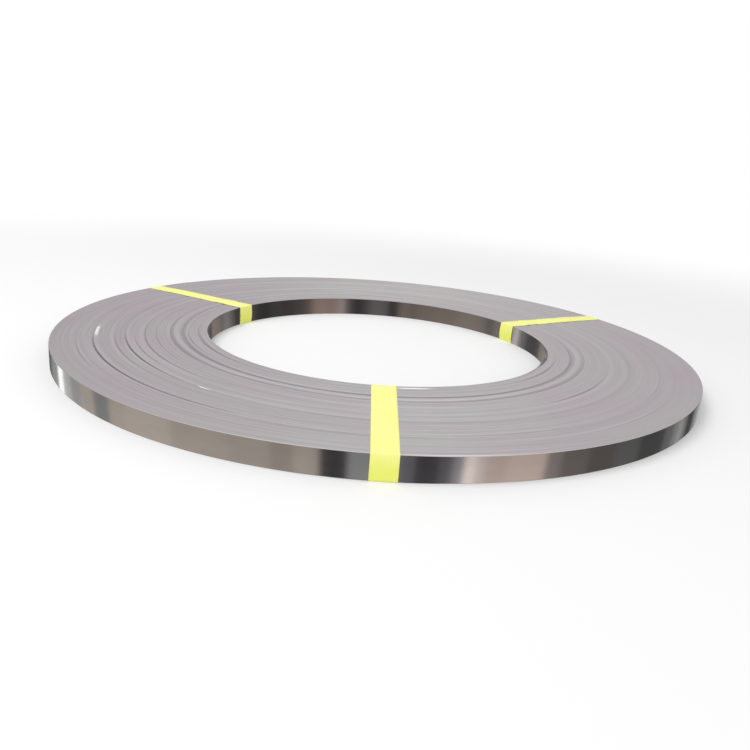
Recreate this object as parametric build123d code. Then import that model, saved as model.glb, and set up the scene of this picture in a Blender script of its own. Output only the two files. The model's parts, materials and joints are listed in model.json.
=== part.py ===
"""A slit coil of thin steel strip, lying flat, held by three bands of tape.

The strip is wound edge over edge into a ring. Its laps sit in groups that slid
up or down a little as they were wound, so both ends of the ring show concentric
steps and gaps. Each tape band runs once round the ring's section: over the top
edges, down the outer wall, under the ring and up the bore.

Millimetres. The origin is on the ring's axis at floor level, with +Z up.
"""

from build123d import *
import os
from math import cos, radians, sin

# strip and winding
strip_width = 22.5          # the strip's slit width, which is the height of each lap
strip_thickness = 0.3
bore_radius = 200.0

# lap groups, from the bore outwards: laps in the group, and how many steps it stands up
rise_step = 0.1
lap_groups = [
    (93, 0),
    (40, 5),
    (97, 1),
    (63, 4),
    (40, 0),
    (73, 6),
    (53, 2),
    (87, 0),
]
gap_width = 0.9             # a slack gap between two groups, at the strip's edges
gap_depth = 1.2

# the strip's two ends, as angles about the axis, anticlockwise from +X
inner_end_angle = -22.0
inner_runout = 40.0         # the arc over which the bore closes up by one lap
inner_lift = 0.9            # how far the sprung inner end stands off the bore
inner_lift_arc = 25.0
outer_end_angle = 140.0
outer_runout = 85.0         # the arc over which the wall rises by one lap

# tape bands
tape_width = 24.0
tape_thickness = 0.3
tape_angles = {
    "binding_tape_front": -90.0,
    "binding_tape_right": 30.0,
    "binding_tape_left": 150.0,
}

outer_radius = bore_radius + strip_thickness * sum(laps for laps, _ in lap_groups)
top_edge = strip_width + rise_step * max(steps for _, steps in lap_groups)
beyond = strip_width        # how far a cutting shape passes the surface that it cuts


def polar(radius, angle):
    """A point in plan at this radius and angle."""
    return (radius * cos(radians(angle)), radius * sin(radians(angle)))


def group_limits():
    """Each lap group as (inner radius, outer radius, rise)."""
    limits = []
    radius = bore_radius
    for laps, steps in lap_groups:
        limits.append((radius, radius + laps * strip_thickness, steps * rise_step))
        radius += laps * strip_thickness
    return limits


def face_line(limits, level, inward):
    """The radial line of one end of the ring, with a V-shaped gap between groups.

    level is the height of a group with no rise, and inward is -1 at the top end
    and +1 at the bottom end, the way that a gap is cut.
    """
    points = []
    pick = min if inward < 0 else max
    for (_, radius, rise), (_, _, next_rise) in zip(limits, limits[1:]):
        floor_of_gap = level + pick(rise, next_rise) + inward * gap_depth
        points.append((radius - gap_width / 2, level + rise))
        points.append((radius, floor_of_gap))
        points.append((radius + gap_width / 2, level + next_rise))
    return points


def turned_blank():
    """The ring with both stepped ends, turned, a little wider than its plan."""
    limits = group_limits()
    first_rise = limits[0][2]
    last_rise = limits[-1][2]
    inside = bore_radius - beyond
    outside = outer_radius + beyond
    outline = [(inside, first_rise)]
    outline += face_line(limits, 0.0, +1)
    outline += [(outside, last_rise), (outside, strip_width + last_rise)]
    outline += reversed(face_line(limits, strip_width, -1))
    outline += [(inside, strip_width + first_rise)]
    section = make_face(Polyline(*[(r, 0, z) for r, z in outline], close=True))
    return revolve(section, axis=Axis.Z)


def wall_loop(radius, end_angle, runout, step):
    """A closed plan loop: a circle, apart from the arc beside a strip end.

    Beside the end the loop jumps by step and comes back to the circle over the
    runout, which is signed: positive runs anticlockwise.
    """
    end, middle, back = end_angle, end_angle + runout / 2, end_angle + runout
    across = polar(-radius, middle)
    return [
        ThreePointArc(
            polar(radius + step, end),
            polar(radius + step / 2, middle),
            polar(radius, back),
        ),
        ThreePointArc(polar(radius, back), across, polar(radius, end)),
        Line(polar(radius, end), polar(radius + step, end)),
    ]


def plan():
    """The ring in plan: the wall with the strip's outer end, less the bore."""
    wall = wall_loop(outer_radius, outer_end_angle, -outer_runout, -strip_thickness)
    bore = wall_loop(bore_radius, inner_end_angle, inner_runout, strip_thickness)
    return make_face(wall) - make_face(bore)


def sprung_inner_end():
    """The last of the innermost lap, which springs off the bore wall."""
    start = inner_end_angle - inner_lift_arc
    middle = inner_end_angle - inner_lift_arc / 2
    wedge = make_face(
        [
            ThreePointArc(
                polar(bore_radius, start),
                polar(bore_radius - inner_lift / 4, middle),
                polar(bore_radius - inner_lift, inner_end_angle),
            ),
            Line(
                polar(bore_radius - inner_lift, inner_end_angle),
                polar(bore_radius + strip_thickness, inner_end_angle),
            ),
            ThreePointArc(
                polar(bore_radius + strip_thickness, inner_end_angle),
                polar(bore_radius + strip_thickness, middle),
                polar(bore_radius + strip_thickness, start),
            ),
            Line(
                polar(bore_radius + strip_thickness, start),
                polar(bore_radius, start),
            ),
        ]
    )
    _, _, innermost_rise = group_limits()[0]
    return Pos(0, 0, innermost_rise) * extrude(wedge, strip_width)


def band_zone(angle, length, height):
    """A block as wide as the tape that reaches outwards from the axis."""
    block = Box(length, tape_width, height, align=(Align.MIN, Align.CENTER, Align.MIN))
    return Rot(0, 0, angle) * block


def tape_band(angle):
    """One closed loop of tape round the ring's section."""
    build = outer_radius - bore_radius
    centre = ((bore_radius + outer_radius) / 2, (top_edge + tape_thickness) / 2)
    outside = RectangleRounded(
        build + 2 * tape_thickness, top_edge + tape_thickness, tape_thickness
    )
    inside = Rectangle(build, top_edge - tape_thickness)
    section = Plane.XZ * (Pos(*centre) * (outside - inside))
    return revolve(section, axis=Axis.Z) & band_zone(
        angle, outer_radius + beyond, top_edge + beyond
    )


def wound_strip():
    """The wound coil. The tape is pressed flush with the edges that it lies under."""
    coil = turned_blank() & extrude(plan(), top_edge + beyond)
    coil += sprung_inner_end()
    for angle in tape_angles.values():
        coil -= band_zone(angle, outer_radius + beyond, tape_thickness)
    return coil


os.makedirs("parts", exist_ok=True)
export_step(wound_strip(), "parts/wound_strip.step")
for name, angle in tape_angles.items():
    export_step(tape_band(angle), f"parts/{name}.step")
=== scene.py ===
"""The looks of a narrow slit coil of cold-rolled steel strip, bound with yellow tape.

Metres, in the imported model's frame: the origin is on the coil's axis at floor level,
+Z is up and the front tape band lies towards -Y.
"""

import json
from math import cos, pi, radians, sin, tau

import bpy
import numpy as np
from mathutils import Matrix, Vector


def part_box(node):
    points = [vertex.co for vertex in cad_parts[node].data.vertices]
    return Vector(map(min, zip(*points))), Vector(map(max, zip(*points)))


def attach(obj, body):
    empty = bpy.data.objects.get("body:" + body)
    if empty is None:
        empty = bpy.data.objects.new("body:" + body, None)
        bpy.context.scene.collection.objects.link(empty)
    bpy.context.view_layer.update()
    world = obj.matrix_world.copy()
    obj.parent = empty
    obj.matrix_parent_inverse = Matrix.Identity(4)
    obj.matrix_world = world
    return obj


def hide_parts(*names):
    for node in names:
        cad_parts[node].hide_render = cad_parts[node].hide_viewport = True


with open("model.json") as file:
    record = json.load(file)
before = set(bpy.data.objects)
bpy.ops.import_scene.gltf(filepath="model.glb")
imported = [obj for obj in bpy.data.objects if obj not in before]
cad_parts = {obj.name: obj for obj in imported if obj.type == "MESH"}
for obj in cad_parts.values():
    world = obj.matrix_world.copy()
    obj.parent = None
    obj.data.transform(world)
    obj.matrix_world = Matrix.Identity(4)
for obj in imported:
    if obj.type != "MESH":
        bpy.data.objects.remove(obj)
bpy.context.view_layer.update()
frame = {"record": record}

# The wound strip. Several hundred laps of thin cold-rolled steel, slit to one width and
# wound edge over edge. The ring's ends are the laps' slit edges, in groups that slid up or
# down a little as they were wound; its walls are the strip's bright rolled faces.

mm = 0.001
bore_mount = next(m for m in frame["record"]["mounts"] if m["name"] == "bore")
bore_radius = bore_mount["dims"]["r_mm"] * mm
strip_width = bore_mount["dims"]["length_mm"] * mm
outer_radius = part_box("wound_strip")[1].x
strip_thickness = 0.3 * mm

# lap groups in mm: where each starts, how far it stands up, and how wide the slope up to it is
lap_groups = [
    (200.0, 0.0, 1.0), (227.9, 0.5, 5.0), (239.9, 0.1, 3.5), (269.0, 0.4, 2.0),
    (287.9, 0.0, 4.0), (299.9, 0.5, 9.0), (321.8, 0.2, 6.0), (337.7, 0.0, 8.0),
]

# slack lines between laps: radius and half width in mm, then arcs along which the line is
# open, each with its depth in mm and its middle and half length in degrees. Where the depth
# is negative, the laps' edges have a burr that stands up instead, with a painted glint on it.
slack_lines = [
    (206.0, 1.6, [(-0.5, 278.5, 3.5)]),
    (210.0, 2.2, [(0.8, 211, 22), (0.4, 260, 12), (0.7, 325, 16)]),
    (221.5, 0.8, [(0.6, 203, 16), (0.3, 90, 70)]),
    (228.2, 3.8, [(1.1, 222, 45), (1.2, 295, 55), (0.45, 348, 24), (0.7, 110, 80)]),
    (239.5, 3.0, [(1.0, 215, 45), (1.1, 302, 50), (0.6, 100, 60)]),
    (256.0, 0.8, [(0.4, 200, 30), (0.5, 285, 40)]),
    (268.0, 1.6, [(0.9, 216, 30), (0.4, 275, 16), (1.0, 316, 14), (0.6, 90, 60)]),
    (278.5, 1.0, [(0.7, 210, 15), (0.3, 60, 40)]),
    (287.9, 0.9, [(1.5, 214, 17), (-0.5, 236.5, 1.3), (0.5, 60, 50)]),
    (299.0, 1.6, [(0.7, 210, 20), (0.4, 285, 20)]),
    (312.0, 0.8, [(0.2, 295, 25), (0.3, 120, 40)]),
    (317.9, 2.1, [(-0.5, 193.5, 2.6)]),
    (321.2, 1.1, [(1.6, 213, 15), (1.1, 238, 16), (0.7, 287, 18), (0.2, 330, 20), (0.9, 90, 80)]),
    (337.7, 0.9, [(0.5, 208, 9), (0.4, 308, 20), (0.4, 60, 50)]),
    (349.0, 0.6, [(0.3, 150, 50), (0.3, 30, 30)]),
    (361.8, 1.0, [(-0.1, 279, 8)]),
]

# how fast a line closes along an arc, where 1 leaves 1/e of its depth at the half length, and
# the height at which a burr's painted glint is as bright as it gets
arc_falloff = 1.2
full_burr_glint = 0.15 * mm

# the strip's two ends, the tail outside and the lip in the bore: each springs off the ring
# beyond its root, and the ring's wall comes back to its circle over the runout
tail_end, tail_root, tail_lift = radians(140.0), radians(150.0), 0.7 * mm
lip_end, lip_root, lip_lift = radians(-22.0), radians(-47.0), 4.2 * mm
tail_runout, lip_runout = radians(85.0), radians(40.0)

# the innermost laps that have come loose, the lip counted, and the arc past the lip's end over
# which they go back into the ring
loose_laps, loose_return = 8, radians(14.0)

# each tape band's angle, and how far its bore end is off the radial line, anticlockwise
tapes = {
    "binding_tape_front": (radians(-90.0), 2.4 * mm),
    "binding_tape_right": (radians(30.0), -1.6 * mm),
    "binding_tape_left": (radians(150.0), 1.2 * mm),
}
tape_width, tape_thickness = 24.0 * mm, 0.3 * mm

# packs of laps, some millimetres wide, that stand a little higher or lower than the next,
# less so further out: the radii of their edges, and their heights in three parts that swell
# and fade once, twice and three times round
narrow_pack, wide_pack, most_packs = 2.0 * mm, 8.0 * mm, 60
packs_from, packs_to = bore_radius + 2 * mm, outer_radius - 4 * mm
pack_unevenness, outermost_share = 0.1 * mm, 0.3
random = np.random.default_rng(11)
pack_edges = packs_from + np.cumsum(random.uniform(narrow_pack, wide_pack, most_packs))
pack_edges = pack_edges[pack_edges < packs_to]
pack_heights = random.normal(0, pack_unevenness, (3, pack_edges.size + 1))
pack_heights *= np.linspace(1.0, outermost_share, pack_edges.size + 1)
pack_heights[:, [0, -1]] = 0
pack_phases = random.uniform(0, tau, 3)

# on the right, about +X, the laps lie more even: the share of the packs' heights that is
# lost there, how far round that reaches, and from which X to which it shows in the steel
even_share, even_reach = 0.6, radians(50)
even_from, even_to = 50 * mm, 280 * mm

# at the front the laps lie out of round: how far, and the middle and reach of that
drift_most, drift_middle, drift_reach = 4.5 * mm, radians(273), radians(34)


def turn(angle, middle):
    """The signed angle from middle to angle, between minus and plus half a turn."""
    return (angle - middle + pi) % tau - pi


def smooth_step(value):
    """0 below 0, 1 above 1, and an S-curve between: three squares less two cubes."""
    value = np.clip(value, 0.0, 1.0)
    return value * value * (3 - 2 * value)


def bell(angle, middle, reach):
    """1 at the middle angle, falling off either side by a Gaussian that is 1/e at the reach."""
    return np.exp(-((turn(angle, middle) / reach) ** 2))


def ring_columns():
    """The angles of the grid's columns: even round the ring, closer at tapes and strip ends."""
    even_columns = 288
    even = np.linspace(-pi, pi, even_columns, endpoint=False)
    beside_tape = np.radians([-4.2, -3.5, -2.6, -2.1, -1.7, 1.7, 2.1, 2.6, 3.5, 4.2])
    extra = [middle + beside_tape for middle, _ in tapes.values()]
    jump, closest = radians(0.03), radians(0.02)
    for edge in (tail_root, lip_end):
        extra.append(np.array([edge - jump, edge + jump]))
    columns = np.sort((np.concatenate([even] + extra) + pi) % tau - pi)
    return columns[np.append(True, np.diff(columns) > closest)]


def toward_bore(radius):
    """0 at the outer wall and 1 at the bore, in proportion to the radius."""
    return np.clip((outer_radius - radius) / (outer_radius - bore_radius), 0.0, 1.0)


def drift(radius, angle):
    """How far out of round the laps lie: a bell round the ring, times a parabola that is 1
    half way between the bore and the outer wall and 0 at both."""
    share = toward_bore(radius)
    return drift_most * 4 * share * (1 - share) * bell(angle, drift_middle, drift_reach)


def face_rows(spacing, groove):
    """The rows over one end of the ring, from the bore outwards: their radii, and for each
    slack line how much of its depth each row has.

    groove pairs a place across a line, from -1 to 1, with its share of the depth. Between
    the lines the rows are one spacing apart, with two more at each edge of a pack.
    """
    lines = np.array([[radius, half_width] for radius, half_width, _ in slack_lines]) * mm
    beside_pack, beside_line, half_lap = 0.6 * mm, 0.3 * mm, strip_thickness / 2
    plain = np.arange(bore_radius + spacing, outer_radius - spacing / 2, spacing)
    plain = plain[np.abs(plain[:, None] - pack_edges).min(axis=1) > beside_pack]
    plain = np.concatenate([plain, pack_edges - half_lap, pack_edges + half_lap])
    clear = np.abs(plain[:, None] - lines[:, 0]) > lines[:, 1] + beside_line
    plain = plain[clear.all(axis=1)]
    place, share = np.array(groove).T
    across = (lines[:, :1] + lines[:, 1:] * place).ravel()
    depth_share = np.kron(np.eye(len(lines)), share[:, None])
    radius = np.concatenate([[bore_radius], plain, [outer_radius], across])
    shares = np.vstack([np.zeros((plain.size + 2, len(lines))), depth_share])
    order = np.argsort(radius)
    return radius[order, None], shares[order]


def group_rise(radius):
    """How far the laps stand up: a smooth step from each group's rise to the next one's."""
    rise = np.zeros_like(radius)
    for (_, before, _), (start, after, slope) in zip(lap_groups, lap_groups[1:]):
        rise += (after - before) * mm * smooth_step((radius / mm - start) / slope + 0.5)
    return rise


def pack_lift(radius, angle):
    """How far the packs stand up. Each part's height, passed on from one pack to the next
    over one lap's thickness, is multiplied by a sine round the ring that is moved to run from
    0 to 1. A bell about +X, where the laps lie more even, takes its share off the sum."""
    share = smooth_step((radius - pack_edges) / strip_thickness + 0.5)
    lift = 0
    for turns, (heights, phase) in enumerate(zip(pack_heights, pack_phases), 1):
        across = heights[0] + share @ np.diff(heights)
        lift = lift + across[:, None] * (1 + np.sin(turns * angle + phase)) / 2
    return lift * (1 - even_share * bell(angle, 0.0, even_reach))


def end_face(spacing, groove, angle, level, inward):
    """One end of the ring as rows of radius and height, from the bore outwards: the level,
    plus the rise of the groups and packs, less the slack lines' grooves, each as deep along
    the ring as the sum of its arcs' bells. The third result is each point's share of burr,
    which sets how much painted glint it gets.

    inward is -1 at the upper end and +1 at the lower end, where nothing goes under the level.
    """
    radius, shares = face_rows(spacing, groove)
    arcs = []
    for _, _, stretches in slack_lines:
        bells = [depth * np.exp(-arc_falloff * (turn(angle, radians(middle)) / radians(half)) ** 2)
                 for depth, middle, half in stretches]
        arcs.append(sum(bells) * mm)
    depth = shares @ np.array(arcs)
    height = level + group_rise(radius) + pack_lift(radius, angle) + inward * depth
    if inward > 0:
        height = np.maximum(height, level)
    return radius + drift(radius, angle), height, np.clip(-depth / full_burr_glint, 0.0, 1.0)


def wall(radius, low, high, rounding):
    """A wall from its lower to its upper edge, as rows of radius and height. Each edge is
    rounded off by a quarter circle, and the wall between bulges by a sine's hump, as rolled
    strip is a little thicker along its middle. rounding, the quarter circle's radius, is
    negative on the outer wall."""
    quarter = np.radians([0, 30, 60, 90])[:, None]
    share = np.array([[0.12], [0.3], [0.5], [0.7], [0.88]])
    size, crown = abs(rounding), 0.12 * mm
    below = radius + rounding * (1 - np.sin(quarter))
    between = radius - np.sign(rounding) * crown * np.sin(pi * share)
    height = [
        low + size * (1 - np.cos(quarter)),
        low + size + (high - low - 2 * size) * share,
        high - size * (1 - np.cos(quarter[::-1])),
    ]
    return np.vstack([below, between, below[::-1]]), np.vstack(height)


def closed_faces(rows, columns):
    """The quads of a grid that closes on itself both ways."""
    row, column = np.meshgrid(np.arange(rows), np.arange(columns), indexing="ij")
    next_row, next_column = (row + 1) % rows, (column + 1) % columns
    corners = [(row, column), (row, next_column), (next_row, next_column), (next_row, column)]
    return np.stack([r * columns + c for r, c in corners], axis=-1).reshape(-1, 4).tolist()


def around(radius, height, angle):
    """Points on the ring from rows of radius and height and one angle for each column."""
    points = [radius * np.cos(angle), radius * np.sin(angle), height + 0 * angle]
    return np.stack(points, axis=-1).reshape(-1, 3)


def ring_section(angle):
    """The ring's closed section at each angle: bore wall, upper end, outer wall, lower end.
    Its rows of radius, height and burr share for the painted glint, which rows are wall, and
    the upper end's own rows.

    Beside a strip end the wall jumps by one strip thickness and comes back along a runout.
    The outer wall also wavers a little inwards, by two sines, five and nine times round. The
    lower end rises to seat each tape, by an S-curve either side. The burrs' painted glint shows
    only above."""
    behind_tail = np.where(turn(angle, tail_root) > 0, 1.0, -turn(angle, tail_root) / tail_runout)
    past_lip = np.where(turn(angle, lip_end) < 0, 1.0, turn(angle, lip_end) / lip_runout)
    waver = 0.05 * mm * (np.sin(5 * angle + 1) + np.sin(9 * angle + 4) - 2)
    outside = outer_radius - strip_thickness * smooth_step(1 - behind_tail) + waver
    inside = bore_radius + strip_thickness * smooth_step(1 - past_lip)

    fine_groove = [(-1, 0), (-0.55, 0.8), (0, 1), (0.55, 0.8), (1, 0)]
    plain_groove = [(-1, 0), (0, 1), (1, 0)]
    fine_spacing, plain_spacing = 3.0 * mm, 12.0 * mm
    top_radius, top_height, top_burr_glint = end_face(fine_spacing, fine_groove, angle, strip_width, -1)
    low_radius, low_height, _ = end_face(plain_spacing, plain_groove, angle, 0.0, +1)
    seat, seat_height, seat_slope = 0 * low_height, 1.05 * tape_thickness, 3 * mm
    for middle, lean in tapes.values():
        beside = np.abs(np.sin(turn(angle, middle)) * low_radius - lean * toward_bore(low_radius))
        under = smooth_step((tape_width / 2 + seat_slope - beside) / seat_slope)
        seat = np.maximum(seat, seat_height * under * (np.cos(turn(angle, middle)) > 0))
    low_height = np.maximum(low_height, seat)

    rounding = 0.35 * mm
    for radius in (top_radius, low_radius):
        radius[-1] = outside - rounding
        radius[0] = inside + rounding
    bore_rows = wall(inside, low_height[0], top_height[0], rounding)
    outer_rows = wall(outside, low_height[-1], top_height[-1], -rounding)
    radius = [bore_rows[0], top_radius[1:-1], outer_rows[0][::-1], low_radius[1:-1][::-1]]
    height = [bore_rows[1], top_height[1:-1], outer_rows[1][::-1], low_height[1:-1][::-1]]
    burr_glint = [0 * bore_rows[0], top_burr_glint[1:-1], 0 * outer_rows[0], 0 * low_radius[1:-1]]
    walls = [True, False, True, False]
    is_wall = np.concatenate([np.full(len(part), flag) for part, flag in zip(radius, walls)])
    return np.vstack(radius), np.vstack(height), np.vstack(burr_glint), is_wall, (top_radius, top_height)


def recess_of(radius, height, is_wall):
    """How far each row lies below the rows beside it, as a share of the deepest that shows:
    the height averaged over a few millimetres of radius, less the row's own height, and the
    same upside down below. It is negative where the row stands proud, held to -1 and 1, and
    0 on the walls."""
    reach, deepest = 3.5 * mm, 0.55 * mm
    mean_radius = radius.mean(axis=1)
    upper = height.mean(axis=1) > strip_width / 2
    near = np.exp(-(((mean_radius[:, None] - mean_radius) / reach) ** 2))
    near *= (upper[:, None] == upper) & ~is_wall
    average = (near / near.sum(axis=1, keepdims=True)) @ height
    below = (average - height) * np.where(upper, 1, -1)[:, None]
    return np.where(is_wall[:, None], 0.0, np.clip(below / deepest, -1.0, 1.0))


def free_lap(angle, face, outwards):
    """A closed shell for a stretch of one lap that stands off the ring, with its bare face
    at the radii given. Its section is the wall's, one strip thick, with a plain back.
    outwards is 1 where the bare face looks outwards, and -1 in the bore."""
    clear_below, clear_above, rounding = 0.05 * mm, 0.03 * mm, 0.1 * mm
    low, high = clear_below + 0 * angle, strip_width - clear_above + 0 * angle
    radii, heights = wall(face, low, high, -outwards * rounding)
    back = face - outwards * strip_thickness
    radii, heights = np.vstack([radii, back, back]), np.vstack([heights, high, low])
    grid = np.arange(radii.size).reshape(radii.shape)
    following = np.roll(grid, -1, axis=0)
    quads = [grid[:, :-1], grid[:, 1:], following[:, 1:], following[:, :-1]]
    quads = np.stack(quads, axis=-1).reshape(-1, 4).tolist()
    caps = [grid[:, 0].tolist(), grid[::-1, -1].tolist()]
    return around(radii, heights, angle), quads + caps


def sprung_ends():
    """The strip's two free ends, and the laps that the inner end has pulled loose.

    An end moves off the ring by its lift times the square of the share of the way from its
    root, as a held leaf bends. A loose lap follows the inner end, each a little less far,
    and goes back into the ring past it by an S-curve. Where it lies in the ring, each starts
    a little deeper than the last, so that no two shells share a point."""
    share = np.linspace(0, 1, 25)
    tail = tail_root + (tail_end - tail_root) * share
    lip = lip_root + (lip_end - lip_root) * share
    shells = [
        free_lap(tail, outer_radius + tail_lift * share**2, 1),
        free_lap(lip, bore_radius - lip_lift * share**2, -1),
    ]
    past = np.linspace(0, 1, 17)[1:]
    step_in, depth_back, longest_return = 0.02 * mm, 1.2 * strip_thickness, 1.3
    for lap in range(1, loose_laps):
        lift = lip_lift * (1 - lap / loose_laps)
        back = lip_end + loose_return * past * (1 + (longest_return - 1) * random.uniform())
        away = lift * np.concatenate([share**2, 1 - smooth_step(past)])
        sunk = np.concatenate([0 * share, depth_back * smooth_step(past)])
        face = bore_radius + step_in * lap + sunk - away
        shells.append(free_lap(np.concatenate([lip, back]), face, -1))
    return shells


def facing_out(points, faces):
    """The faces, all turned over if the closed shell's signed volume is negative. With each
    face cut into a fan of triangles, the volume is in proportion to the sum of the boxes that
    the origin spans with their corners."""
    volume = 0.0
    for size in {len(face) for face in faces}:
        like = np.array([face for face in faces if len(face) == size])
        for k in range(1, size - 1):
            a, b, c = points[like[:, 0]], points[like[:, k]], points[like[:, k + 1]]
            volume += np.sum(a * np.cross(b, c))
    return faces if volume > 0 else [face[::-1] for face in faces]


def shaded_mesh(name, points, faces, sharp):
    """A new mesh object, smooth apart from the edges that turn more than sharp degrees."""
    mesh = bpy.data.meshes.new(name)
    mesh.from_pydata(points, [], faces)
    mesh.polygons.foreach_set("use_smooth", np.ones(len(faces), bool))
    mesh.set_sharp_from_angle(angle=radians(sharp))
    mesh.update()
    piece = bpy.data.objects.new(name, mesh)
    bpy.context.scene.collection.objects.link(piece)
    return piece


def new_material(name):
    """A material with its node tree and its surface shader, which is all that it starts with."""
    material = bpy.data.materials.new(name)
    material.use_nodes = True
    tree = material.node_tree
    return material, tree, tree.nodes["Principled BSDF"]


def node(tree, kind, inputs=(), **settings):
    """A new node. inputs pairs a socket's name or number with a value or another node's socket."""
    made = tree.nodes.new(kind)
    for key, value in settings.items():
        setattr(made, key, value)
    for key, value in dict(inputs).items():
        if isinstance(value, bpy.types.NodeSocket):
            tree.links.new(value, made.inputs[key])
        else:
            made.inputs[key].default_value = value
    return made


def lap_noise(tree, along, across, height, detail):
    """Noise in lines that follow the laps, so that it changes fast across them and slowly
    along them. Its point lies in the direction from the axis, at the distance along, and as
    high as the distance from the axis times across plus the height above the floor times height."""
    place = node(tree, "ShaderNodeTexCoord").outputs["Object"]
    parts = node(tree, "ShaderNodeSeparateXYZ", {0: place}).outputs
    flat = node(tree, "ShaderNodeCombineXYZ", {0: parts[0], 1: parts[1]}).outputs[0]
    length = node(tree, "ShaderNodeVectorMath", {0: flat}, operation="LENGTH").outputs["Value"]
    toward = node(tree, "ShaderNodeVectorMath", {0: flat}, operation="NORMALIZE").outputs[0]
    toward = node(tree, "ShaderNodeVectorMath", {0: toward, "Scale": along}, operation="SCALE").outputs[0]
    outward = node(tree, "ShaderNodeMath", {0: length, 1: across}, operation="MULTIPLY").outputs[0]
    up = node(tree, "ShaderNodeMath", {0: parts[2], 1: height, 2: outward}, operation="MULTIPLY_ADD")
    lift = node(tree, "ShaderNodeCombineXYZ", {2: up.outputs[0]}).outputs[0]
    point = node(tree, "ShaderNodeVectorMath", {0: toward, 1: lift}, operation="ADD").outputs[0]
    noise = node(tree, "ShaderNodeTexNoise", {"Vector": point, "Scale": 1.0, "Detail": detail})
    return noise.outputs["Fac"]


def spread(tree, value, low, high, to_low, to_high):
    """The value moved from one range to another, and held to its ends."""
    inputs = {"Value": value, "From Min": low, "From Max": high, "To Min": to_low, "To Max": to_high}
    return node(tree, "ShaderNodeMapRange", inputs).outputs["Result"]


def mixed(tree, share, first, second):
    """Two colours mixed by a share, which is how much of the second one shows."""
    made = node(tree, "ShaderNodeMix", data_type="RGBA")
    for key, value in ((0, share), (6, first), (7, second)):
        if isinstance(value, bpy.types.NodeSocket):
            tree.links.new(value, made.inputs[key])
        else:
            made.inputs[key].default_value = value
    return made.outputs[2]


def bumped(tree, shader, height, strength, depth):
    """Joins a height to the shader as bump, at a strength and a depth in metres."""
    bump = node(tree, "ShaderNodeBump", {"Height": height, "Strength": strength, "Distance": depth})
    tree.links.new(bump.outputs[0], shader.inputs["Normal"])


def lap_edge_steel():
    """Slit edges: satin, with tones that change softly from lap to lap, dark seams between
    single laps, painted shade in the slack lines and other recesses, paler edges where the
    laps stand proud, and burrs with a painted glint, white and less metallic so that they look
    bright from all round. Where the laps lie more even, the tones and seams run together into
    one slightly darker tone."""
    material, tree, shader = new_material("slit_lap_edges")
    fine = lap_noise(tree, 3.0, 420.0, 0.0, 3.0)
    single = lap_noise(tree, 1.6, 2400.0, 0.0, 1.0)
    broad = lap_noise(tree, 3.0, 16.0, 0.0, 2.0)
    recess = node(tree, "ShaderNodeAttribute", attribute_name="recess").outputs["Fac"]
    burr_glint = node(tree, "ShaderNodeAttribute", attribute_name="burr_glint").outputs["Fac"]
    place = node(tree, "ShaderNodeTexCoord").outputs["Object"]
    toward_x = node(tree, "ShaderNodeSeparateXYZ", {0: place}).outputs[0]
    lively = spread(tree, toward_x, even_from, even_to, 1.0, 0.35)
    merged = spread(tree, toward_x, even_from, even_to, 0.0, 0.09)
    seam_tone = (0.20, 0.19, 0.20, 1)
    tint = spread(tree, broad, 0.35, 0.65, 0.0, 1.0)
    colour = mixed(tree, tint, (0.575, 0.566, 0.565, 1), (0.58, 0.528, 0.556, 1))
    streak = spread(tree, fine, 0.3, 0.7, 0.0, 0.14)
    streak = node(tree, "ShaderNodeMath", {0: streak, 1: lively}, operation="MULTIPLY").outputs[0]
    colour = mixed(tree, streak, colour, (0.30, 0.29, 0.30, 1))
    seam = spread(tree, single, 0.35, 0.6, 0.3, 0.0)
    seam = node(tree, "ShaderNodeMath", {0: seam, 1: lively}, operation="MULTIPLY").outputs[0]
    colour = mixed(tree, seam, colour, seam_tone)
    colour = mixed(tree, merged, colour, seam_tone)
    proud = spread(tree, recess, -0.35, -0.08, 0.22, 0.0)
    colour = mixed(tree, proud, colour, (0.72, 0.71, 0.71, 1))
    # painted shade: the deeper a row lies below the rows beside it, the nearer to black it is painted,
    # for the shade in the slack lines and other recesses
    recess_shade = spread(tree, recess, 0.05, 1.0, 0.0, 0.44)
    colour = mixed(tree, recess_shade, colour, (0.10, 0.09, 0.10, 1))
    # painted glint: the burrs are painted near white here, and below made smoother and less metallic, so
    # that they look bright from any side
    colour = mixed(tree, burr_glint, colour, (0.96, 0.95, 0.96, 1))
    tree.links.new(colour, shader.inputs["Base Color"])
    satin = spread(tree, fine, 0.3, 0.7, 0.42, 0.48)
    tree.links.new(spread(tree, burr_glint, 0.0, 1.0, satin, 0.25), shader.inputs["Roughness"])
    tree.links.new(spread(tree, burr_glint, 0.0, 1.0, 1.0, 0.4), shader.inputs["Metallic"])
    relief = node(tree, "ShaderNodeMath", {0: fine, 1: single}, operation="ADD").outputs[0]
    relief = node(tree, "ShaderNodeMath", {0: relief, 1: lively}, operation="MULTIPLY").outputs[0]
    bumped(tree, shader, relief, 0.3, 0.03 * mm)
    return material


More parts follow.
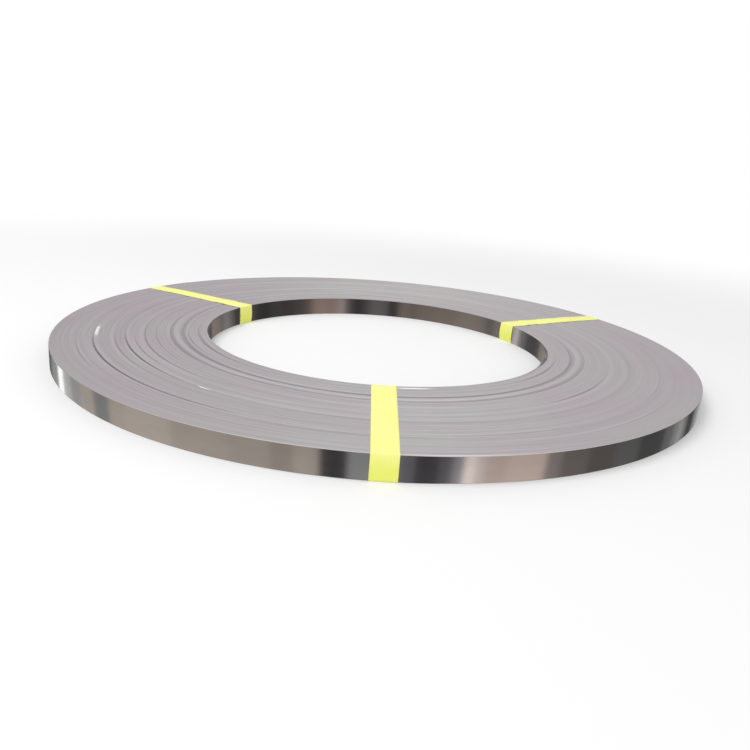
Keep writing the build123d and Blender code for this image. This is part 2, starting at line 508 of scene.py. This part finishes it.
def rolled_steel():
    """Rolled faces: bright, with faint rolling lines along the strip that soften reflections.
    The bore wall and the loose laps by it carry painted shade, much darker, as the bore lies
    in shade, and they are a little duller."""
    material, tree, shader = new_material("rolled_strip_face")
    lines = lap_noise(tree, 6.0, 40.0, 2600.0, 3.0)
    patches = lap_noise(tree, 9.0, 20.0, 90.0, 2.0)
    tint = spread(tree, patches, 0.35, 0.65, 0.0, 1.0)
    colour = mixed(tree, tint, (0.65, 0.64, 0.63, 1), (0.61, 0.605, 0.605, 1))
    place = node(tree, "ShaderNodeTexCoord").outputs["Object"]
    away = node(tree, "ShaderNodeVectorMath", {0: place}, operation="LENGTH").outputs["Value"]
    # painted shade: the rolled faces in and near the bore are painted dark, for the shade in the bore
    bore_shade = spread(tree, away, bore_radius + 20 * mm, bore_radius + 40 * mm, 1.0, 0.0)
    colour = mixed(tree, bore_shade, colour, (0.37, 0.345, 0.34, 1))
    tree.links.new(colour, shader.inputs["Base Color"])
    gloss = spread(tree, lines, 0.3, 0.7, 0.08, 0.13)
    tree.links.new(spread(tree, bore_shade, 0.0, 1.0, gloss, 0.17), shader.inputs["Roughness"])
    shader.inputs["Metallic"].default_value = 1.0
    bumped(tree, shader, lines, 0.12, 0.02 * mm)
    return material


column_angle = ring_columns()
ring_radius, ring_height, ring_burr_glint, ring_wall, upper_end = ring_section(column_angle)
ring_points = around(ring_radius, ring_height, column_angle)
ring_faces = facing_out(ring_points, closed_faces(*ring_radius.shape))
coil_points, coil_faces = ring_points, list(ring_faces)
for lap_points, lap_faces in sprung_ends():
    first = len(coil_points)
    coil_points = np.vstack([coil_points, lap_points])
    coil_faces += [[first + corner for corner in face] for face in facing_out(lap_points, lap_faces)]
coil = shaded_mesh("wound_strip_laps", coil_points, coil_faces, 12)
coil.data.materials.append(lap_edge_steel())
coil.data.materials.append(rolled_steel())
wall_row = ring_wall & np.roll(ring_wall, -1)
rolled = np.ones(len(coil_faces), np.int32)
rolled[:len(ring_faces)] = np.repeat(wall_row, column_angle.size)
coil.data.polygons.foreach_set("material_index", rolled)
ring_recess = recess_of(ring_radius, ring_height, ring_wall)
for name, ring_values in (("recess", ring_recess), ("burr_glint", ring_burr_glint)):
    values = np.zeros(len(coil_points))
    values[:len(ring_points)] = ring_values.ravel()
    coil.data.attributes.new(name, "FLOAT", "POINT").data.foreach_set("value", values)
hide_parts("wound_strip")
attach(coil, "root")

# The three bands of tape. Thin yellow plastic film tape, drawn tight once round the ring's
# section: up the bore, over the lap edges, down the outer wall and under the coil. Its ends
# overlap in the bore.

# the heights between which the tape's ends overlap, and the share of its width that the
# stretched tape loses at the outer wall
overlap_low, overlap_high = 5.0 * mm, 16.0 * mm
drawn_in = 0.07


def tape_top(angle):
    """The tape's underside over the upper end, as radii and heights from the bore outwards:
    the highest lap edge within a few millimetres, then a running average of that."""
    radius, height = upper_end
    column = np.argmin(np.abs(turn(column_angle, angle)))
    apart, reach = 1.0 * mm, 4
    sample = np.arange(bore_radius, outer_radius, apart)
    lap = np.interp(sample, radius[:, column], height[:, column])
    padded = np.pad(lap, reach, mode="edge")
    highest = np.max([padded[k:k + lap.size] for k in range(2 * reach + 1)], axis=0)
    padded = np.pad(highest, reach, mode="edge")
    return sample, np.mean([padded[k:k + lap.size] for k in range(2 * reach + 1)], axis=0)


def tape_path(angle):
    """The tape's closed centre line as radii and heights: straight under the ring, bowed a
    little off each wall by a squared sine, laid over the upper end, and turned by a quarter
    circle at each of the ring's four edges. It has a point either side of each overlap end."""
    sample, over = tape_top(angle)
    half, bend, bow = tape_thickness / 2, 0.7 * mm, 0.25 * mm
    quarter = np.linspace(0, pi / 2, 6)
    inside, outside = bore_radius - half, outer_radius + half
    top_in, top_out, under = over[0] + half, over[-1] + half, half
    share = np.linspace(0, 1, 9)[1:-1]
    low, span_in, span_out = under + bend, top_in - under - 2 * bend, top_out - under - 2 * bend
    beside_end = np.array([-0.05, 0.05]) * mm
    ends = [overlap_low + beside_end, overlap_high + beside_end]
    rise = np.sort(np.concatenate([low + span_in * share] + ends))
    fall = low + span_out * share[::-1]
    bowed_in = inside - bow * np.sin(pi * (rise - low) / span_in) ** 2
    bowed_out = outside + bow * np.sin(pi * (fall - low) / span_out) ** 2
    between = (sample > bore_radius + bend + mm) & (sample < outer_radius - bend - mm)
    back = np.linspace(outside - bend, inside + bend, 40)[1:-1]
    radius = [
        bowed_in, inside + bend * (1 - np.cos(quarter)), sample[between],
        outside - bend * (1 - np.sin(quarter)), bowed_out,
        outside - bend * (1 - np.cos(quarter)), back, inside + bend * (1 - np.sin(quarter)),
    ]
    height = [
        rise, top_in - bend * (1 - np.sin(quarter)), over[between] + half,
        top_out - bend * (1 - np.cos(quarter)), fall,
        under + bend * (1 - np.sin(quarter)), np.full(back.size, under),
        under + bend * (1 - np.cos(quarter)),
    ]
    return np.concatenate(radius), np.concatenate(height)


def tape_shell(angle, lean):
    """The tape as a closed shell: a flat section with rounded edges, carried along its path.

    A point across the tape keeps its path's distance from the axis, so the tape lies round
    the walls, and moves off along the path's normal by half the thickness. Where the ends
    overlap, the outer face moves off by one thickness more. The tape's edges curl off the
    coil, apart from under it, by the sixth power of the way across. Towards the bore the path
    leaves the radial line by the lean, and away from it the stretched tape is narrower."""
    radius, height = tape_path(angle)
    step_radius = np.roll(radius, -1) - np.roll(radius, 1)
    step_height = np.roll(height, -1) - np.roll(height, 1)
    length = np.hypot(step_radius, step_height)
    out_radius, out_height = -step_height / length, step_radius / length
    half_width, rounded_off, most_curl, points_across = tape_width / 2, 0.1 * mm, 0.15 * mm, 13
    across = np.linspace(-1, 1, points_across) * (half_width - rounded_off)
    side = np.concatenate([across, [half_width], across[::-1], [-half_width]])
    outer = np.concatenate([1 + 0 * across, [0.5], 0 * across, [0.5]])[:, None]
    curl = most_curl * (np.abs(side[:, None]) / half_width) ** 6 * (height > mm)
    doubled = (radius < bore_radius) & (height > overlap_low) & (height < overlap_high)
    off = (outer - 0.5) * tape_thickness + curl + outer * doubled * tape_thickness
    far = radius + off * out_radius
    width_share = 1 - drawn_in * (1 - toward_bore(radius))
    beside = side[:, None] * width_share + lean * toward_bore(radius)
    along = np.sqrt(far**2 - beside**2)
    x = along * cos(angle) - beside * sin(angle)
    y = along * sin(angle) + beside * cos(angle)
    z = height + off * out_height
    points = np.stack([x, y, z + 0 * side[:, None]], axis=-1).reshape(-1, 3)
    return points, closed_faces(side.size, radius.size), np.repeat(side, radius.size)


def yellow_film():
    """Fluorescent yellow tape: satin film with faint lengthwise lines and a soft mottle, and
    painted shade lower down: darker and greener down the walls than over the lap edges."""
    material, tree, shader = new_material("yellow_tape_film")
    across = node(tree, "ShaderNodeAttribute", attribute_name="across").outputs["Fac"]
    place = node(tree, "ShaderNodeTexCoord").outputs["Object"]
    lane = node(tree, "ShaderNodeCombineXYZ", {0: across}).outputs[0]
    lines = {"Vector": lane, "Scale": 480.0, "Detail": 3.0}
    lines = node(tree, "ShaderNodeTexNoise", lines).outputs["Fac"]
    cloud = {"Vector": place, "Scale": 60.0, "Detail": 3.0}
    cloud = node(tree, "ShaderNodeTexNoise", cloud).outputs["Fac"]
    line_tone = spread(tree, lines, 0.3, 0.7, 0.0, 1.0)
    colour = mixed(tree, line_tone, (0.92, 0.92, 0.25, 1), (0.95, 0.94, 0.33, 1))
    colour = mixed(tree, spread(tree, cloud, 0.4, 0.7, 0.0, 0.4), colour, (0.86, 0.88, 0.19, 1))
    height = node(tree, "ShaderNodeSeparateXYZ", {0: place}).outputs[2]
    # painted shade: the film is painted darker and greener below the lap edges, for the shade on the
    # walls
    lower_shade = spread(tree, height, 11.0 * mm, 21.0 * mm, 0.75, 0.0)
    colour = mixed(tree, lower_shade, colour, (0.82, 0.87, 0.15, 1))
    tree.links.new(colour, shader.inputs["Base Color"])
    tree.links.new(spread(tree, cloud, 0.3, 0.7, 0.38, 0.52), shader.inputs["Roughness"])
    shader.inputs["Specular IOR Level"].default_value = 0.35
    bumped(tree, shader, lines, 0.25, 0.05 * mm)
    return material


film = yellow_film()
for tape_node, (tape_angle, tape_lean) in tapes.items():
    tape_points, tape_faces, tape_side = tape_shell(tape_angle, tape_lean)
    tape_faces = facing_out(tape_points, tape_faces)
    tape = shaded_mesh(tape_node + "_film", tape_points, tape_faces, 60)
    tape.data.materials.append(film)
    tape.data.attributes.new("across", "FLOAT", "POINT").data.foreach_set("value", tape_side)
    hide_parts(tape_node)
    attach(tape, "root")

# The studio: a pale floor, a pale surround, soft light from above and from the front and,
# for the bright walls to show, a ring of dark and pale panels that only reflections see.


def seen_as_background(tree):
    """1 on rays from the camera, off gloss and through clear things, and 0 on the rest."""
    path = node(tree, "ShaderNodeLightPath").outputs
    gloss = {0: path["Is Camera Ray"], 1: path["Is Glossy Ray"]}
    gloss = node(tree, "ShaderNodeMath", gloss, operation="MAXIMUM").outputs[0]
    clear = {0: gloss, 1: path["Is Transmission Ray"]}
    return node(tree, "ShaderNodeMath", clear, operation="MAXIMUM").outputs[0]


def stage_mesh(name, points, faces):
    """A new mesh object for the studio, linked to the scene."""
    mesh = bpy.data.meshes.new(name)
    mesh.from_pydata(points, [], faces)
    piece = bpy.data.objects.new(name, mesh)
    bpy.context.scene.collection.objects.link(piece)
    return piece


def pale_floor():
    """A disc that is matt and pale by the coil and turns into plain white further out. It
    lies a hair under the coil."""
    reach, count, gap = 12.0, 96, 0.02 * mm
    pale_to, white_from = 0.5, 1.5
    turns = np.linspace(0, tau, count, endpoint=False)
    rim = np.stack([reach * np.cos(turns), reach * np.sin(turns), 0 * turns - gap], axis=-1)
    floor = stage_mesh("studio_floor", rim.tolist(), [list(range(count))])
    material, tree, shader = new_material("pale_floor")
    shader.inputs["Base Color"].default_value = (0.88, 0.88, 0.88, 1)
    shader.inputs["Roughness"].default_value = 0.9
    shader.inputs["Specular IOR Level"].default_value = 0.0
    place = node(tree, "ShaderNodeTexCoord").outputs["Object"]
    away = node(tree, "ShaderNodeVectorMath", {0: place}, operation="LENGTH").outputs["Value"]
    fade = {0: away, 1: pale_to, 2: white_from}
    fade = node(tree, "ShaderNodeMapRange", fade, interpolation_type="SMOOTHSTEP").outputs[0]
    share = {0: fade, 1: seen_as_background(tree)}
    share = node(tree, "ShaderNodeMath", share, operation="MULTIPLY").outputs[0]
    white = node(tree, "ShaderNodeEmission", {"Color": (1, 1, 1, 1), "Strength": 1.0}).outputs[0]
    both = node(tree, "ShaderNodeMixShader", {0: share, 1: shader.outputs[0], 2: white}).outputs[0]
    tree.links.new(both, tree.nodes["Material Output"].inputs["Surface"])
    floor.data.materials.append(material)
    floor.visible_glossy = False


def panel_ring():
    """A ring of studio panels round the coil, for reflections alone.

    Each panel starts at an angle round the coil, in degrees, and has a brightness and a tint.
    The tone passes from one panel to the next over a degree or two. Lower down the panels are
    a little brighter, and overhead they give way to one soft sky that brightens towards its
    middle and low down behind the coil. Low down to the sides of that it has a mauve cast."""
    grey, beige, violet = (1, 1, 1), (1.13, 1, 0.88), (1, 0.96, 1.05)
    rose, copper = (1.11, 0.97, 0.92), (1.20, 0.965, 0.85)
    panels = [
        (60, 0.40, beige), (80, 0.10, grey), (90, 0.45, beige), (110, 0.16, grey), (133, 0.34, grey),
        (143.5, 1.60, grey), (149, 0.58, grey), (156, 0.40, grey), (163, 0.46, beige),
        (172, 0.28, grey), (180, 0.46, beige), (188, 0.49, beige), (206, 0.41, beige),
        (226, 0.38, beige), (239, 0.31, beige), (246, 0.40, beige), (254, 0.05, violet),
        (262, 0.30, grey), (277, 0.15, violet), (282, 0.06, violet), (289, 0.12, violet),
        (293, 0.28, violet), (296.5, 0.90, rose), (300, 0.62, rose), (303, 0.48, copper),
        (310, 0.545, copper), (322.5, 0.23, rose), (328, 0.15, rose), (338, 0.11, rose),
        (349, 0.13, grey), (360, 0.08, grey), (374, 0.17, grey), (380, 0.28, grey),
        (384, 0.40, grey), (388, 0.24, grey), (391.5, 0.07, grey), (399, 0.30, grey),
        (405, 0.50, grey), (415, 0.30, beige),
    ]
    columns, rows, distance = 720, 45, 3.0
    turns = np.linspace(0, tau, columns, endpoint=False)
    starts = np.array([start for start, _, _ in panels])
    tones = np.array([np.multiply(tint, brightness) for _, brightness, tint in panels])
    degrees = (np.degrees(turns) - starts[0]) % 360 + starts[0]
    tone = tones[np.searchsorted(starts, degrees, side="right") - 1]
    soft = np.ones(3) / 3
    wrapped = np.pad(tone, ((1, 1), (0, 0)), mode="wrap")
    tone = np.stack([np.convolve(wrapped[:, k], soft, mode="valid") for k in range(3)], axis=1)
    climb = np.radians(np.linspace(-88, 88, rows))[:, None]
    lower = 1 + 1.2 * np.clip(-climb - radians(20), -radians(8), radians(8))
    overhead = smooth_step((climb + radians(4)) / radians(12))[..., None]
    sky_foot, gain_up, gain_behind = 0.585, 0.50, 0.26
    behind = bell(turns, radians(85), radians(13))
    mauve, undone_behind = np.array([-0.02, -0.10, -0.05]), np.array([0.025, 0.15, 0.05])
    cast = mauve + undone_behind * behind[:, None]
    cast = 1 + cast * smooth_step((radians(50) - climb) / radians(30))[..., None]
    low = bell(climb, radians(14), radians(14))
    sky = sky_foot + gain_up * smooth_step((climb - radians(5)) / radians(55))
    sky = sky + gain_behind * behind * low
    shade = tone * lower[..., None] * (1 - overhead) + sky[..., None] * cast * overhead
    points = [np.cos(climb) * np.cos(turns), np.cos(climb) * np.sin(turns), np.sin(climb) + 0 * turns]
    points = distance * np.stack(points, axis=-1).reshape(-1, 3)
    grid = np.arange(rows * columns).reshape(rows, columns)
    beside = np.roll(grid, -1, axis=1)
    faces = np.stack([grid[:-1], beside[:-1], beside[1:], grid[1:]], axis=-1).reshape(-1, 4)
    ring = stage_mesh("panel_ring", points, faces.tolist())
    colour = np.concatenate([shade, np.ones((rows, columns, 1))], axis=-1).ravel()
    ring.data.color_attributes.new("panel_tone", "FLOAT_COLOR", "POINT").data.foreach_set("color", colour)
    material, tree, shader = new_material("studio_panels")
    tone = node(tree, "ShaderNodeAttribute", attribute_name="panel_tone").outputs["Color"]
    glow = node(tree, "ShaderNodeEmission", {"Color": tone, "Strength": 1.0}).outputs[0]
    tree.links.new(glow, tree.nodes["Material Output"].inputs["Surface"])
    material.cycles.emission_sampling = "NONE"
    ring.data.materials.append(material)
    ring.visible_camera = ring.visible_diffuse = ring.visible_shadow = ring.visible_transmission = False


def soft_lamp(name, place, size, power):
    """A round lamp that faces the coil: its place and width in metres, its power in watts.
    Reflections show the panels instead of it."""
    lamp = bpy.data.lights.new(name, "AREA")
    lamp.shape, lamp.size, lamp.energy = "DISK", size, power
    lit = bpy.data.objects.new(name, lamp)
    lit.location = place
    lit.rotation_euler = lit.location.to_track_quat("Z", "Y").to_euler()
    lit.visible_glossy = False
    bpy.context.scene.collection.objects.link(lit)


def studio_surround():
    """A white background, and an even grey light from all round."""
    world = bpy.data.worlds.new("studio")
    bpy.context.scene.world = world
    world.use_nodes = True
    tree = world.node_tree
    light = node(tree, "ShaderNodeBackground", {"Color": (1, 1, 1, 1), "Strength": 0.72}).outputs[0]
    white = node(tree, "ShaderNodeBackground", {"Color": (1, 1, 1, 1), "Strength": 1.0}).outputs[0]
    both = node(tree, "ShaderNodeMixShader", {0: seen_as_background(tree), 1: light, 2: white}).outputs[0]
    tree.links.new(both, tree.nodes["World Output"].inputs["Surface"])


def station_camera():
    """The camera at the photographer's place, turned to take in the whole coil.

    The place is given from the middle of the coil's upper end, in outer radii and as a
    bearing. The pitch turns the camera down, and the roll leans it about its own axis."""
    distance, above, bearing = 2.4055 * outer_radius, 0.6012 * outer_radius, radians(-91.9)
    pitch, roll, ahead = radians(17.2), radians(4.4), bearing + pi
    forward = np.array([cos(pitch) * cos(ahead), cos(pitch) * sin(ahead), -sin(pitch)])
    level = np.array([sin(ahead), -cos(ahead), 0.0])
    upright = np.cross(level, forward)
    right = cos(roll) * level + sin(roll) * upright
    top = cos(roll) * upright - sin(roll) * level
    lens = bpy.data.cameras.new("camera")
    lens.sensor_width, lens.lens = 36.0, 36.0
    lens.clip_start, lens.clip_end = 0.01, 50.0
    camera = bpy.data.objects.new("camera", lens)
    spot = (distance * cos(bearing), distance * sin(bearing), strip_width + above)
    placed = np.vstack([np.stack([right, top, -forward, spot], axis=1), [0, 0, 0, 1]])
    camera.matrix_world = Matrix(placed.tolist())
    bpy.context.scene.collection.objects.link(camera)
    bpy.context.scene.camera = camera


pale_floor()
panel_ring()
studio_surround()
soft_lamp("key_lamp", (-0.9, -0.5, 2.2), 1.6, 24.0)
soft_lamp("front_lamp", (0.5, -2.6, 0.9), 1.4, 10.0)
station_camera()
bpy.context.scene.view_settings.view_transform = "Standard"
